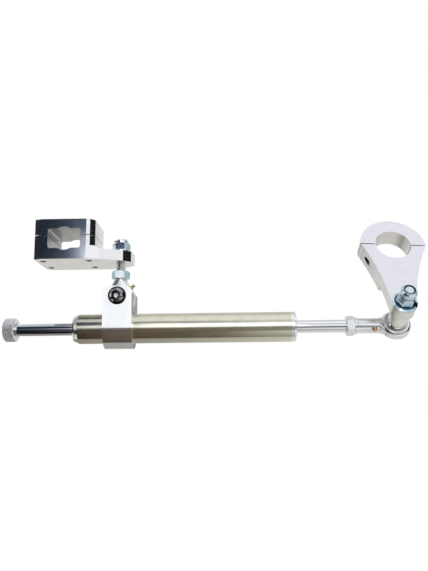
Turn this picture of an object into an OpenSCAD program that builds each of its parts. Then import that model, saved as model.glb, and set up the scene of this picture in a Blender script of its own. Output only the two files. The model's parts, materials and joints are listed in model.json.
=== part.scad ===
// Motorcycle steering damper: a through-rod hydraulic damper with an adjuster knob, hung on two
// rod ends between a two-piece frame clamp and a two-piece fork clamp.
// Millimetres, +Z up. X runs along the damper, Y through the frame clamp's opening, and the
// origin is the centre of that opening.

/* [Tube] */
// Outer diameter of the tube
tube_d = 24; // [21:0.5:30]
// Wall of the tube
tube_wall = 3; // [2.4:0.1:3.4]
// Length of the tube between its end faces
tube_len = 172; // [162:1:210]
// Length of tube left of the clevis bolt
tube_left = 34.8; // [24:0.2:60]
// Depth of the bevel round the tube's left end
tube_bevel = 1.2; // [0.8:0.1:2.7]
// Length of the bevel on the tube's left end
bevel_run = 2.4; // [1:0.1:5]

/* [Glands] */
// Length of the left gland's nose in front of the tube
nose_len = 1.9; // [1.5:0.1:8]
// Fall of the nose's radius from the tube to its front
nose_bevel = 0.7; // [0.4:0.1:1.6]
// Length of the right end cap outside the tube
cap_len = 4.4; // [3:0.1:10]
// Bevel on the front of the end cap
cap_bevel = 1.6; // [0.4:0.1:2.6]
// Length of a guide bush
bush_len = 8; // [5:0.5:9]
// Wall of a guide bush
bush_wall = 1.5; // [0.8:0.1:2]
// Length of a rod seal
seal_len = 4; // [2.5:0.1:4.5]
// Radial depth of a rod seal
seal_wall = 2.2; // [1.4:0.1:2.6]
// Distance of the rod seal from the tube's end
seal_from_end = 5; // [3.5:0.1:6]
// Length of a rod wiper
wiper_len = 2.6; // [2:0.1:4]
// Radial depth of a rod wiper
wiper_wall = 2; // [1.2:0.1:2.4]
// Section of a gland O-ring
gland_ring = 1.8; // [1:0.1:2]
// Length of a rubber bump stop
bump_len = 7; // [3:0.5:9]

/* [Rod and piston] */
// Diameter of the piston rod
rod_d = 10; // [9.5:0.1:11]
// Bore of the piston rod for the needle
rod_bore = 5; // [4.4:0.1:5.4]
// Full travel of the rod
stroke = 78; // [50:1:86]
// Gap left between knob and nose with the rod fully right
knob_gap = 8.1; // [0.5:0.1:10]
// Gap left between jam nut and end cap with the rod fully left
nut_gap = 1; // [0.5:0.1:10]
// Length of the piston
piston_len = 26; // [18:1:32]
// Length of the piston band
band_len = 10; // [5:0.5:13]
// Radial depth of the piston band
band_wall = 1.5; // [0.8:0.1:2]
// Thickness of a piston snap ring
snap_t = 1.2; // [0.8:0.1:1.6]
// Diameter of the oil ports through the rod
port_d = 2.4; // [1.2:0.1:3]

/* [Adjuster] */
// Diameter of the knob
knob_d = 19; // [17.5:0.5:28]
// Length of the knob
knob_len = 9; // [8.5:0.5:20]
// Bevel on the knob's rims
knob_bevel = 0.8; // [0.3:0.1:1.2]
// Length of the knob's cover
cover_len = 2.5; // [2.2:0.1:3.8]
// Diameter of the knob's cover
cover_d = 14; // [13.4:0.1:15]
// Number of detent notches in a turn
detents = 16; // [8:1:20]
// Diameter of the detent ball
detent_d = 2; // [1.6:0.1:2.2]
// Diameter of the needle's shaft
needle_d = 3.6; // [2.8:0.1:3.8]
// Diameter of the metering orifice
orifice_d = 3; // [2:0.1:3.4]
// Width across the flats of the needle's drive
drive_af = 2.8; // [2:0.1:3.2]

/* [Rod ends] */
// Thread diameter of studs, bolts and nuts
thread_d = 8; // [7:0.5:9]
// Diameter of the rod ends' balls
ball_d = 15.9; // [15.2:0.1:16.6]
// Width of the balls
ball_w = 12; // [11:0.1:12.6]
// Outer diameter of the races
race_d = 18.4; // [17.6:0.1:19.4]
// Diameter of the rod ends' heads
head_d = 23.6; // [22.4:0.1:27]
// Width of the rod ends' heads
head_w = 9; // [8:0.1:9.4]
// Bevel on the rims of the heads
head_bevel = 1.6; // [0.6:0.1:2]
// Length of the frame rod end from ball to thread
neck_len = 16; // [14:0.5:20]
// Length of the fork rod end from ball to its threaded end
shank_len = 33; // [31:0.5:46]
// Diameter of the fork rod end's shank
shank_d = 12; // [11.4:0.1:13]
// Length of the round collar on the fork rod end
collar_len = 2.2; // [1.6:0.1:7]
// Diameter of the round collar on the fork rod end
rim_d = 13.4; // [13:0.1:15]
// Width across the flats of the fork jam nut
collar_af = 14; // [13:0.5:17]
// Depth of the thread in the fork rod end
tap_depth = 14; // [11:0.5:18]
// Base diameter of a grease nipple
nipple_d = 4; // [3:0.1:4.6]
// Length of a grease nipple outside its seat
nipple_len = 4.4; // [3:0.1:6]

/* [Nuts and bolts] */
// Width across the flats of the nuts
nut_af = 13; // [12:0.5:16]
// Height of the frame jam nut
jam_h = 6.5; // [4:0.5:8]
// Height of the fork jam nut
thin_h = 6.5; // [3:0.5:8]
// Height of a lock nut with its collar
lock_h = 9.5; // [8:0.5:12]
// Thickness of the washer under the frame lock nut
washer_t = 1.6; // [1:0.1:2.4]
// Diameter of the washer under the frame lock nut
washer_d = 16; // [14:0.5:18]
// Height of the flanged lock nut
flange_nut_h = 16; // [10:0.2:18]
// Diameter of the flange on the flanged lock nut
flange_d = 19.5; // [16.5:0.5:21]
// Diameter of the button heads
button_d = 14.4; // [12:0.1:16]
// Height of the button heads
button_h = 4.4; // [3.6:0.1:6]
// Width across the flats of the hexagon sockets in button heads
socket_af = 5; // [4:0.5:6]
// Thread length left beyond a lock nut
thread_over = 2.4; // [1:0.1:6]

/* [Body clamp] */
// Width of the clamp along the tube
block_w = 23; // [18:0.5:30]
// Wall of the clamp round the tube
block_wall = 4.4; // [3.5:0.1:7]
// Height of the ears above the clevis bolt
ear_top = 8; // [8:0.1:11]
// Corner radius of the ears
ear_r = 5; // [2:0.5:7]
// Gap between the rod end's head and the tube
head_gap = 0.8; // [0.6:0.1:4]
// Thickness of the spacers beside the frame ball
spacer_t = 1.5; // [1.4:0.1:3]

/* [Frame clamp] */
// Width of the clamp
clamp_w = 48; // [47:0.5:70]
// Depth of the clamp along the frame tube
clamp_depth = 42; // [36:0.5:60]
// Height of the clamp below the opening's centre
clamp_below = 16.9; // [15:0.1:26]
// Height of the clamp above the opening's centre
clamp_above = 15.9; // [15:0.1:24]
// Height of the split above the opening's centre
split_up = 2.7; // [0.5:0.1:4]
// Gap at the split
split_gap = 0.5; // [0.3:0.1:1.5]
// Width of the opening
opening_w = 26; // [22:0.1:29]
// Height of the opening between its flats
opening_h = 16; // [13:0.1:17]
// Corner radius of the opening
opening_r = 1.8; // [0.5:0.1:3]
// Radius of the round seats in the opening
seat_r = 9.5; // [8.8:0.1:11]
// Bevel on the clamp's upright corners
corner_cut = 3.6; // [1:0.1:5]
// Length of the bevel on the clamp's left front corner
left_cut = 5.5; // [1:0.1:7]
// Depth of the bevel on the clamp's left front corner
left_in = 2; // [0.5:0.1:7]
// Length of the bevel along the clamp's right side
side_cut = 4.3; // [1:0.1:6]
// Thickness of the arm
arm_t = 8.8; // [6:0.1:9]
// Reach of the arm from the opening's centre to the stud
arm_reach = 42.5; // [40:0.5:70]
// Length of the arm beyond the stud
arm_tip = 10; // [9:0.5:16]
// Half width of the arm's tip on the front
tip_front = 11.4; // [10:0.2:16]
// Half width of the arm's tip at the back
tip_back = 14.5; // [10:0.5:18]
// Bevel on the arm's tip at the front
tip_cut = 5.8; // [2:0.1:8]
// Bevel on the arm's tip at the back
tip_back_cut = 6.5; // [2:0.1:8]
// Length by which the arm's end leans back at the front
tip_lean = 1; // [0.4:0.1:3]
// Length of the rise from the arm to the clamp's side
root_len = 7.5; // [3:0.1:9]
// Height of the rise from the arm to the clamp's side
root_h = 2.2; // [0.5:0.1:4]
// Distance from the arm down to the centre of the ball
stud_drop = 29.3; // [25:0.1:45]
// Distance of the clamp screws from the middle of the depth
screw_y = 12; // [8:0.5:13]

/* [Fork clamp] */
// Bore of the fork clamp
fork_bore = 29; // [26:0.5:31]
// Outer radius of the fork clamp's ring
ring_r = 26.6; // [25.5:0.1:32]
// Distance from the pivot bolt to the bore
fork_reach = 60.2; // [54:0.2:90]
// Thickness of the ring
ring_t = 15; // [12:0.5:20]
// Thickness of the arm under the lock nut
fork_arm_t = 10; // [7:0.5:11.5]
// Radius of the thick part about the bore
thick_r = 39; // [34:0.5:44]
// Radius of the arm's end
fork_end_r = 9.6; // [9.5:0.1:13]
// Radius of the hollow sides
side_r = 200; // [150:5:400]
// Gap at the split of the fork clamp
fork_gap = 0.8; // [0.4:0.1:2]
// Distance from the ball's centre to the clamp's front face
fork_stand = 30; // [26:0.5:50]
// Diameter of the fork spacer
spacer_d = 15; // [14:0.5:17]
// Bevel on the spacer's lower rim
spacer_bevel = 1; // [0.4:0.1:1.4]

/* [Clamp screws] */
// Thread diameter of the clamp screws
screw_d = 5; // [4:0.5:5.5]
// Diameter of the clamp screws' heads
screw_head_d = 8.5; // [7.5:0.1:9]
// Height of the clamp screws' heads
screw_head_h = 5; // [3.5:0.5:6]
// Width across the flats of the clamp screws' sockets
screw_af = 4; // [2.5:0.5:4.5]
// Thickness of the frame clamp's cap under a screw's head
screw_seat = 7.5; // [4:0.1:8]
// Thickness of the fork clamp's cap under a screw's head
fork_seat = 4; // [3:0.1:8]

/* [Pose] */
// Turn of the rod and its rod end about the damper
rod_turn = 28; // [-60:1:60]
// Tilt of the fork ball in its race
ball_tilt = 2.2; // [-6:0.1:6]
// Swing of the fork clamp about its pivot bolt
clamp_swing = 2; // [-40:1:40]
// Turn of the fork grease nipple from the eye
nipple_turn = 58; // [40:1:140]

/* [Hidden] */
$fn = 96;
// Length by which a cut passes through a face
over = 1;
// Clearances: running fits, sliding seals, loose gaps and turning faces
run_fit = 0.05;
seal_fit = 0.03;
loose = 0.4;
face_fit = 0.05;
piston_gap = 0.3;
ball_fit = 0.03;
bolt_fit = 0.025;

// Damper frame: x = 0 at the clevis bolt, on the tube's axis
tube_id = tube_d - 2 * tube_wall;
bevel_left = min(tube_bevel, tube_wall - loose);
x_left = -tube_left;
x_right = tube_len - tube_left;
x_nose = x_left - nose_len;
x_cap = x_right + cap_len;
x_mid = (x_left + x_right) / 2;
end_gap = 0.5;
chamber = stroke + piston_len + 2 * (bump_len + end_gap);
gland_len = (tube_len - chamber) / 2;
nose_d = tube_d - 2 * bevel_left;
// Width and depth of the groove at the seam between tube and nose
seam_w = 0.5;
seam_depth = 0.45;
// Share of the cap's bevel and of the bump stop that is rounded off
cap_round = 0.3;
bump_round = 0.25;

// Knob, counted from its left face
knob_x = x_nose - stroke / 2 - knob_gap - knob_len;
knob_cup = 1;
cover_floor = 0.5;
pocket_len = 2;
pocket_gap = 0.7;
journal_step = 1.3;
journal_gap = 0.6;
journal_d = rod_d - 2 * journal_step;
journal_start = cover_len + journal_gap;
knob_ring_t = 0.8;
knob_ring_out = 1.5;
knob_ring_play = 0.15;
knob_ring_d = journal_d + 2 * knob_ring_out;
pocket_d = knob_ring_d + 2 * pocket_gap;
web_start = cover_len + pocket_len;
web_end = knob_len - knob_cup;
web_mid = (web_start + web_end) / 2;
knob_ring_at = web_start - knob_ring_play - knob_ring_t;
notch_depth = 0.25;
notch_d = 1;
detent_bore = detent_d + 2 * run_fit;
detent_r = journal_d / 2 + run_fit + detent_d / 2;
detent_screw_len = 1.5;
detent_sink = 0.3;
detent_screw_r = knob_d / 2 - detent_screw_len - detent_sink;
detent_socket = 1;
coil_wire = 0.3;
coil_turns = 3;

// Rod and needle
x_nut = x_cap + stroke / 2 + nut_gap;
x_fork_end = x_nut + thin_h;
eye_x = x_fork_end + shank_len;
port_from_piston = 3;
x_port_left = x_mid - piston_len / 2 - port_from_piston;
x_port_right = x_mid + piston_len / 2 + port_from_piston;
seat_from_port = 3;
x_seat = x_port_left + seat_from_port;
land_len = 10;
seal_land = 6;
land_from_port = 2;
x_seal_land = x_port_left - land_from_port - seal_land;
needle_ring = 0.8;
needle_ring_x = x_seal_land + seal_land / 2;
tip_len = 4;
tip_d = 1;
drive_gap = 0.8;
snap_depth = 0.5;
snap_out = 1.7;
snap_open = 3;
snap_d = rod_d + 2 * snap_out;
recess_gap = 0.5;
recess_d = snap_d + 2 * recess_gap;
recess_over = 0.2;
recess_len = snap_t + recess_over;
piston_bevel = 0.6;
thread_bevel = 1;
// Width of an O-ring groove as a share of the ring's section
groove_share = 1.4;
gland_groove = gland_ring * groove_share;
gland_ring_x = (seal_from_end + seal_len + gland_len - bush_len) / 2;

// Rod ends and clevis
head_r = head_d / 2;
bolt_d = thread_d - 2 * bolt_fit;
bolt_up = tube_d / 2 + head_gap + head_r;
pivot_z = -clamp_below - stud_drop;
axis_z = pivot_z - bolt_up;
slot_w = ball_w + 2 * (spacer_t + face_fit);
block_r = tube_d / 2 + block_wall;
side_wall = 1.5;
spacer_side_d = thread_d + 2 * side_wall;
stud_sink = 0.4;
stud_top = stud_drop + arm_t + washer_t + lock_h - stud_sink;
clevis_end = block_r + lock_h + thread_over;
neck_share = 0.55;
neck_base_d = 2 * head_r * cos(asin(neck_share));
neck_top = 1;
flare_len = 7;
flare_out = 2.8;
rim_cut = 0.4;
nipple_flat = 0.4;
nipple_seat = 1.4;
nipple_from_collar = 13.1;
nipple_at = shank_len - collar_len - nipple_from_collar;
frame_nipple_angle = 45;
// Outline of a grease nipple in shares of its base radius and length, and its stem's share
nipple_outline = [[1, 0], [1, 0.3], [0.54, 0.5], [0.54, 0.62], [0.8, 0.78], [0.5, 1]];
nipple_stem = 0.8;

// Button heads: rim, height by which the dome is cut flat, and depth of the socket
button_rim = 0.6;
dome_cut = 0.8;
socket_depth = 2.6;

// Lock nuts: share of the height that is hexagon, and the nylon ring inside the collar
hex_share = 0.66;
hex_cut_angle = 43;
lip_t = 0.7;
ring_wall = 1.3;
collar_step = 0.45;
collar_d = nut_af - 2 * collar_step;
roll_in = 1.05;
roll_down = 1.5;
flange_t = 2.4;
flange_rim = 1.1;

// Frame clamp
screw_x = (opening_w + clamp_w) / 4;
bend_in = 6.3;
bend_x = clamp_w / 2 - bend_in;
front_y = -clamp_depth / 2;
tip_x = arm_reach + arm_tip;
front_slope = (-tip_front - front_y) / (tip_x - tip_lean - tip_cut - bend_x);
root_r = (root_len * root_len + root_h * root_h) / (2 * root_h);
back_out = 7;
back_x = clamp_w / 2 + back_out;
base_top = split_up - split_gap / 2;
cap_bottom = split_up + split_gap / 2;
screw_gap = 0.25;
screw_hole_d = screw_d + 2 * screw_gap;
screw_sink_d = screw_head_d + 2 * screw_gap;
frame_seat_z = cap_bottom + screw_seat;
screw_stop = 3;

// Fork clamp frame: the ball at the origin, the bolt along -Y and the arm up Z
fork_screw_x = (fork_bore / 2 + ring_r) / 2;
fork_screw_y = -fork_stand + ring_t / 2;
fork_seat_z = fork_reach + fork_gap / 2 + fork_seat;
fork_thread = 8;
fork_screw_end = fork_reach - fork_gap / 2 - fork_thread;
fork_head_y = ball_w / 2 + face_fit + spacer_t;
// Centre of the circle that hollows the right side, through the ring's corner and the arm's end
side_dx = ring_r - fork_end_r;
side_chord = norm([side_dx, fork_reach]);
side_in = sqrt(side_r * side_r - side_chord * side_chord / 4);
side_x = (ring_r + fork_end_r) / 2 + side_in * fork_reach / side_chord;
side_z = fork_reach / 2 - side_in * side_dx / side_chord;

// Frames in which the groups of pieces are drawn
module in_damper() translate([arm_reach, 0, axis_z]) children();
module at_pivot() translate([arm_reach, 0, pivot_z]) children();
module on_rod() in_damper() rotate([-rod_turn, 0, 0]) children();
module at_eye() on_rod() translate([eye_x, 0, 0]) children();
module on_fork_ball() at_eye() rotate([0, 0, ball_tilt]) children();
module on_fork_clamp() on_fork_ball() rotate([0, clamp_swing, 0]) children();
module at_left_end() in_damper() translate([x_left, 0, 0]) children();
module at_right_end() in_damper() translate([x_right, 0, 0]) mirror([1, 0, 0]) children();
module in_knob() on_rod() translate([knob_x, 0, 0]) children();

// Shapes shared by several pieces
module bar(x0, x1, d) translate([x0, 0, 0]) rotate([0, 90, 0]) cylinder(d = d, h = x1 - x0);

module tube_piece(x0, x1, d_out, d_in) difference() {
    bar(x0, x1, d_out);
    bar(x0 - over, x1 + over, d_in);
}

module turned(points) rotate([0, 90, 0]) rotate_extrude() polygon(points);

module to_front() rotate([90, 0, 0]) children();

module to_back() rotate([-90, 0, 0]) children();

module washer(d_out, d_in, t) difference() {
    cylinder(d = d_out, h = t);
    translate([0, 0, -over]) cylinder(d = d_in, h = t + 2 * over);
}

module hex(af, h) cylinder(d = af / cos(30), h = h, $fn = 6);

// Hexagon whose corners are cut by a cone at the top, and at the bottom if it is a loose nut
module cut_hex(af, h, both) {
    corner_r = af / cos(30) / 2;
    drop = (corner_r - af / 2) * tan(hex_cut_angle);
    intersection() {
        hex(af, h);
        rotate_extrude() polygon([
            [0, 0], [both ? af / 2 : corner_r, 0], [corner_r, both ? drop : 0],
            [corner_r, h - drop], [af / 2, h], [0, h]
        ]);
    }
}

module nut(af, h, d) difference() {
    cut_hex(af, h, true);
    translate([0, 0, -over]) cylinder(d = d, h = h + 2 * over);
}

// Lock nut with a rolled collar that holds a nylon ring, bearing on z = 0 with or without a flange
module lock_nut(h, flanged) {
    hex_h = h * hex_share;
    difference() {
        union() {
            cut_hex(nut_af, hex_h, !flanged);
            if (flanged) rotate_extrude() polygon([
                [0, 0], [flange_d / 2, 0], [flange_d / 2, flange_rim],
                [nut_af / 2, flange_t], [0, flange_t]
            ]);
            rotate_extrude() polygon([
                [0, hex_h - over], [collar_d / 2, hex_h - over], [collar_d / 2, h - roll_down],
                [collar_d / 2 - roll_in, h], [0, h]
            ]);
        }
        translate([0, 0, -over]) cylinder(d = thread_d, h = h + 2 * over);
        translate([0, 0, hex_h]) cylinder(d = thread_d + 2 * ring_wall, h = h - hex_h - lip_t);
        translate([0, 0, h - lip_t - over]) cylinder(d = thread_d + ring_wall, h = lip_t + 2 * over);
    }
}

module nylon_ring(h) translate([0, 0, h * hex_share])
    washer(thread_d + 2 * ring_wall, thread_d, h * (1 - hex_share) - lip_t);

// Threaded bar with a bevelled end, from z = 0 up
module shaft(d, h) rotate_extrude() polygon([
    [0, 0], [d / 2, 0], [d / 2, h - thread_bevel], [d / 2 - thread_bevel, h], [0, h]
]);

// Button head with a hexagon socket, its bearing face on z = 0 and the dome towards -z
module button_head() {
    dome_h = button_h + dome_cut - button_rim;
    dome_r = (button_d * button_d / 4 + dome_h * dome_h) / (2 * dome_h);
    difference() {
        rotate_extrude() intersection() {
            translate([0, -button_h]) square([button_d / 2, button_h]);
            translate([0, dome_r - dome_h - button_rim]) circle(r = dome_r);
        }
        translate([0, 0, -button_h - over]) hex(socket_af, socket_depth + over);
    }
}

// Head of a rod end, turned about Y and bored for the race
module eye_body() to_back() rotate_extrude() polygon([
    [0, -head_w / 2], [head_r - head_bevel, -head_w / 2],
    [head_r, -head_w / 2 + head_bevel], [head_r, head_w / 2 - head_bevel],
    [head_r - head_bevel, head_w / 2], [0, head_w / 2]
]);

module eye_bore() to_back() translate([0, 0, -head_w / 2 - over])
    cylinder(d = race_d, h = head_w + 2 * over);

module race() to_back() rotate_extrude() difference() {
    translate([0, -head_w / 2]) square([race_d / 2, head_w]);
    circle(d = ball_d + 2 * ball_fit);
}

module ball() to_back() rotate_extrude() intersection() {
    circle(d = ball_d);
    translate([thread_d / 2, -ball_w / 2]) square([ball_d, ball_w]);
}

// Grease nipple that stands on z = 0 with its press-in stem below, and the hole and seat for it
module nipple() rotate_extrude() polygon(concat(
    [[0, -nipple_seat], [nipple_stem * nipple_d / 2, -nipple_seat], [nipple_stem * nipple_d / 2, 0]],
    [for (p = nipple_outline) [p[0] * nipple_d / 2, p[1] * nipple_len]],
    [[0, nipple_len]]
));

module nipple_hole() {
    translate([0, 0, -nipple_seat]) cylinder(d = nipple_stem * nipple_d, h = nipple_seat + over);
    cylinder(d = nipple_d + 2 * loose, h = nipple_len);
}

// Open snap ring round the X axis, thickness t from x0
module snap_ring(x0, t, d_in, d_out) difference() {
    tube_piece(x0, x0 + t, d_out, d_in);
    translate([x0 - over, -snap_open / 2, 0]) cube([t + 2 * over, snap_open, d_out]);
}

// Socket-head clamp screw, head bearing on z = 0 and the shank down to -len
module clamp_screw(len) difference() {
    union() {
        cylinder(d = screw_head_d, h = screw_head_h);
        translate([0, 0, -len]) cylinder(d = screw_d, h = len + over);
    }
    translate([0, 0, screw_head_h / 2]) hex(screw_af, screw_head_h);
}

// Upright rectangle with round corners
module rounded(w, h, r) {
    square([w - 2 * r, h], center = true);
    square([w, h - 2 * r], center = true);
    for (x = [-1, 1], z = [-1, 1]) translate([x * (w / 2 - r), z * (h / 2 - r)]) circle(r = r);
}

// Frame clamp: two halves with a seat that takes a round tube or a flat frame rail
module frame_screw_places() for (x = [-1, 1], y = [-1, 1])
    translate([x * screw_x, y * screw_y]) children();

module clamp_opening() rotate([90, 0, 0])
    linear_extrude(clamp_depth + 2 * over, center = true) {
        rounded(opening_w, opening_h, opening_r);
        circle(r = seat_r);
    }

module clamp_plan() {
    side_y = front_y + (clamp_w / 2 - corner_cut - bend_x) * front_slope;
    polygon([
        [-clamp_w / 2, front_y + left_in], [-clamp_w / 2 + left_cut, front_y],
        [bend_x, front_y], [clamp_w / 2 - corner_cut, side_y],
        [clamp_w / 2, side_y + side_cut], [clamp_w / 2, -front_y - corner_cut],
        [clamp_w / 2 - corner_cut, -front_y], [-clamp_w / 2 + corner_cut, -front_y],
        [-clamp_w / 2, -front_y - corner_cut]
    ]);
}

module arm_plan() {
    polygon([
        [0, front_y], [bend_x, front_y], [tip_x - tip_lean - tip_cut, -tip_front],
        [tip_x - tip_lean, -tip_front + tip_cut], [tip_x, tip_back - tip_back_cut],
        [tip_x - tip_back_cut, tip_back], [back_x, -front_y], [0, -front_y]
    ]);
}

// Rise from the arm's top to the clamp's side, hollow and level with the arm at its end
module arm_root() intersection() {
    linear_extrude(arm_t + root_h) arm_plan();
    rotate([90, 0, 0]) linear_extrude(clamp_depth, center = true) difference() {
        square([clamp_w / 2 + root_len, arm_t + root_h]);
        translate([clamp_w / 2 + root_len, arm_t + root_r]) circle(r = root_r, $fn = 180);
    }
}

module frame_clamp_base() color("silver") difference() {
    translate([0, 0, -clamp_below]) {
        linear_extrude(clamp_below + base_top) clamp_plan();
        linear_extrude(arm_t) arm_plan();
        arm_root();
    }
    clamp_opening();
    frame_screw_places() translate([0, 0, -clamp_below - over])
        cylinder(d = screw_d, h = clamp_below + base_top + 2 * over);
    translate([arm_reach, 0, -clamp_below - over]) cylinder(d = thread_d, h = arm_t + 2 * over);
}

module frame_clamp_cap() color("silver") difference() {
    translate([0, 0, cap_bottom]) linear_extrude(clamp_above - cap_bottom) clamp_plan();
    clamp_opening();
    frame_screw_places() {
        translate([0, 0, cap_bottom - over])
            cylinder(d = screw_hole_d, h = clamp_above - cap_bottom + 2 * over);
        translate([0, 0, frame_seat_z])
            cylinder(d = screw_sink_d, h = clamp_above - frame_seat_z + over);
    }
}

module frame_clamp_screws() color("dimgray") frame_screw_places()
    translate([0, 0, frame_seat_z]) clamp_screw(frame_seat_z + clamp_below - screw_stop);

// Frame rod end: its stud is screwed through the arm and locked from above
module frame_rod_end() color("gainsboro") at_pivot() difference() {
    union() {
        eye_body();
        intersection() {
            translate([0, 0, head_r * neck_share]) cylinder(
                d1 = neck_base_d, d2 = thread_d + neck_top, h = neck_len - head_r * neck_share
            );
            translate([-head_r, -head_w / 2, 0]) cube([head_d, head_w, neck_len]);
        }
        translate([0, 0, neck_len - over]) shaft(thread_d, stud_top - neck_len + over);
    }
    eye_bore();
    rotate([0, 90 - frame_nipple_angle, 0]) translate([0, 0, head_r - nipple_flat]) nipple_hole();
}

module frame_rod_end_race() color("peru") at_pivot() race();

module frame_jam_nut() color("lightsteelblue") at_pivot() translate([0, 0, neck_len])
    nut(nut_af, jam_h, thread_d);

module frame_lock_washer() color("lightsteelblue") at_pivot()
    translate([0, 0, stud_drop + arm_t]) washer(washer_d, thread_d, washer_t);

module frame_lock_nut() color("lightsteelblue") at_pivot()
    translate([0, 0, stud_drop + arm_t + washer_t]) lock_nut(lock_h, false);

module frame_lock_nut_ring() color("royalblue") at_pivot()
    translate([0, 0, stud_drop + arm_t + washer_t]) nylon_ring(lock_h);

module frame_grease_nipple() color("goldenrod") at_pivot()
    rotate([0, 90 - frame_nipple_angle, 0]) translate([0, 0, head_r - nipple_flat]) nipple();

module frame_rod_end_ball() color("whitesmoke") at_pivot() ball();

// Body clamp: a block with a round belly, split up to its two ears by the clevis slot
module body_clamp() color("white") in_damper() difference() {
    ear_h = bolt_up + ear_top;
    intersection() {
        rotate([90, 0, 90]) linear_extrude(block_w, center = true) {
            circle(r = block_r);
            translate([-block_r, 0]) square([2 * block_r, ear_h]);
        }
        rotate([90, 0, 0]) linear_extrude(2 * block_r + over, center = true)
            translate([0, (ear_h - block_r) / 2 - ear_r]) union() {
                translate([0, ear_r]) rounded(block_w, ear_h + block_r, ear_r);
                square([block_w, ear_h + block_r - 2 * ear_r], center = true);
            }
    }
    bar(-block_w, block_w, tube_d);
    translate([-block_w, -slot_w / 2, 0]) cube([2 * block_w, slot_w, ear_h + over]);
    translate([0, 0, bolt_up]) to_back() translate([0, 0, -block_r - over])
        cylinder(d = thread_d, h = 2 * (block_r + over));
}

module clevis_bolt() color("black") at_pivot() to_back() translate([0, 0, -block_r]) {
    button_head();
    shaft(bolt_d, block_r + clevis_end);
}

module clevis_lock_nut() color("lightsteelblue") at_pivot() to_back()
    translate([0, 0, block_r]) lock_nut(lock_h, false);

module clevis_lock_nut_ring() color("royalblue") at_pivot() to_back()
    translate([0, 0, block_r]) nylon_ring(lock_h);

module clevis_front_spacer() color("silver") at_pivot() to_front()
    translate([0, 0, ball_w / 2 + face_fit]) washer(spacer_side_d, thread_d, spacer_t);

module clevis_rear_spacer() color("silver") at_pivot() to_back()
    translate([0, 0, ball_w / 2 + face_fit]) washer(spacer_side_d, thread_d, spacer_t);

// Tube with a bevelled left end, closed by a gland at each end
module damper_tube() color("tan") at_left_end() turned([
    [tube_id / 2, 0], [tube_d / 2 - bevel_left, 0], [tube_d / 2, bevel_run],
    [tube_d / 2, tube_len], [tube_id / 2, tube_len]
]);

module gland_cuts(face_len) {
    bar(-face_len - over, gland_len + over, rod_d + 2 * loose);
    bar(-face_len - over, wiper_len - face_len, rod_d + 2 * wiper_wall);
    bar(seal_from_end, seal_from_end + seal_len, rod_d + 2 * seal_wall);
    bar(gland_len - bush_len, gland_len + over, rod_d + 2 * bush_wall);
    tube_piece(gland_ring_x - gland_groove / 2, gland_ring_x + gland_groove / 2,
        tube_id + over, tube_id - 2 * gland_ring);
}

module left_gland() color("lightgray") at_left_end() difference() {
    union() {
        bar(0, gland_len, tube_id);
        turned([
            [0, -nose_len], [nose_d / 2 - nose_bevel, -nose_len],
            [nose_d / 2 - nose_bevel * seam_w / nose_len, -seam_w],
            [nose_d / 2 - seam_depth, -seam_w / 2], [nose_d / 2, 0], [0, 0]
        ]);
    }
    gland_cuts(nose_len);
}

module right_gland() color("lightgray") at_right_end() difference() {
    union() {
        bar(0, gland_len, tube_id);
        turned([
            [0, -cap_len], [tube_d / 2 - cap_bevel, -cap_len],
            [tube_d / 2 - cap_bevel * cap_round, cap_bevel * cap_round - cap_len],
            [tube_d / 2, cap_bevel - cap_len], [tube_d / 2, 0], [0, 0]
        ]);
    }
    gland_cuts(cap_len);
}

module bush() tube_piece(gland_len - bush_len, gland_len,
    rod_d + 2 * bush_wall, rod_d + 2 * run_fit);

// Lip seal with its open side towards the oil
module rod_seal() translate([seal_from_end, 0, 0]) {
    r_in = rod_d / 2 + seal_fit;
    r_out = rod_d / 2 + seal_wall;
    lip = (r_out - r_in) / 4;
    turned([
        [r_in, 0], [r_out, 0], [r_out, seal_len], [r_out - lip, seal_len],
        [(r_in + r_out) / 2, seal_len / 2], [r_in + lip, seal_len], [r_in, seal_len]
    ]);
}

// Wiper with its lip towards the outside
module wiper(face_len) translate([-face_len, 0, 0]) {
    r_in = rod_d / 2 + seal_fit;
    r_out = rod_d / 2 + wiper_wall;
    turned([
        [r_in, 0], [r_in + (r_out - r_in) / 3, 0], [r_out, wiper_len * 0.25],
        [r_out, wiper_len], [(r_in + r_out) / 2, wiper_len], [r_in, wiper_len * 0.5]
    ]);
}

module gland_o_ring() translate([gland_ring_x, 0, 0]) rotate([0, 90, 0]) rotate_extrude()
    translate([tube_id / 2 - gland_ring / 2, 0]) circle(d = gland_ring);

module bump_stop() translate([gland_len, 0, 0]) turned([
    [rod_d / 2 + loose, 0], [tube_id / 2, 0], [tube_id / 2, bump_len * (1 - bump_round)],
    [tube_id / 2 - bump_len * bump_round, bump_len], [rod_d / 2 + loose, bump_len]
]);

module left_bush() color("peru") at_left_end() bush();
module right_bush() color("peru") at_right_end() bush();
module left_rod_seal() color("darkslategray") at_left_end() rod_seal();
module right_rod_seal() color("darkslategray") at_right_end() rod_seal();
module left_wiper() color("darkslategray") at_left_end() wiper(nose_len);
module right_wiper() color("darkslategray") at_right_end() wiper(cap_len);
module left_o_ring() color("darkslategray") at_left_end() gland_o_ring();
module right_o_ring() color("darkslategray") at_right_end() gland_o_ring();
module left_bump_stop() color("dimgray") at_left_end() bump_stop();
module right_bump_stop() color("dimgray") at_right_end() bump_stop();

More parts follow.
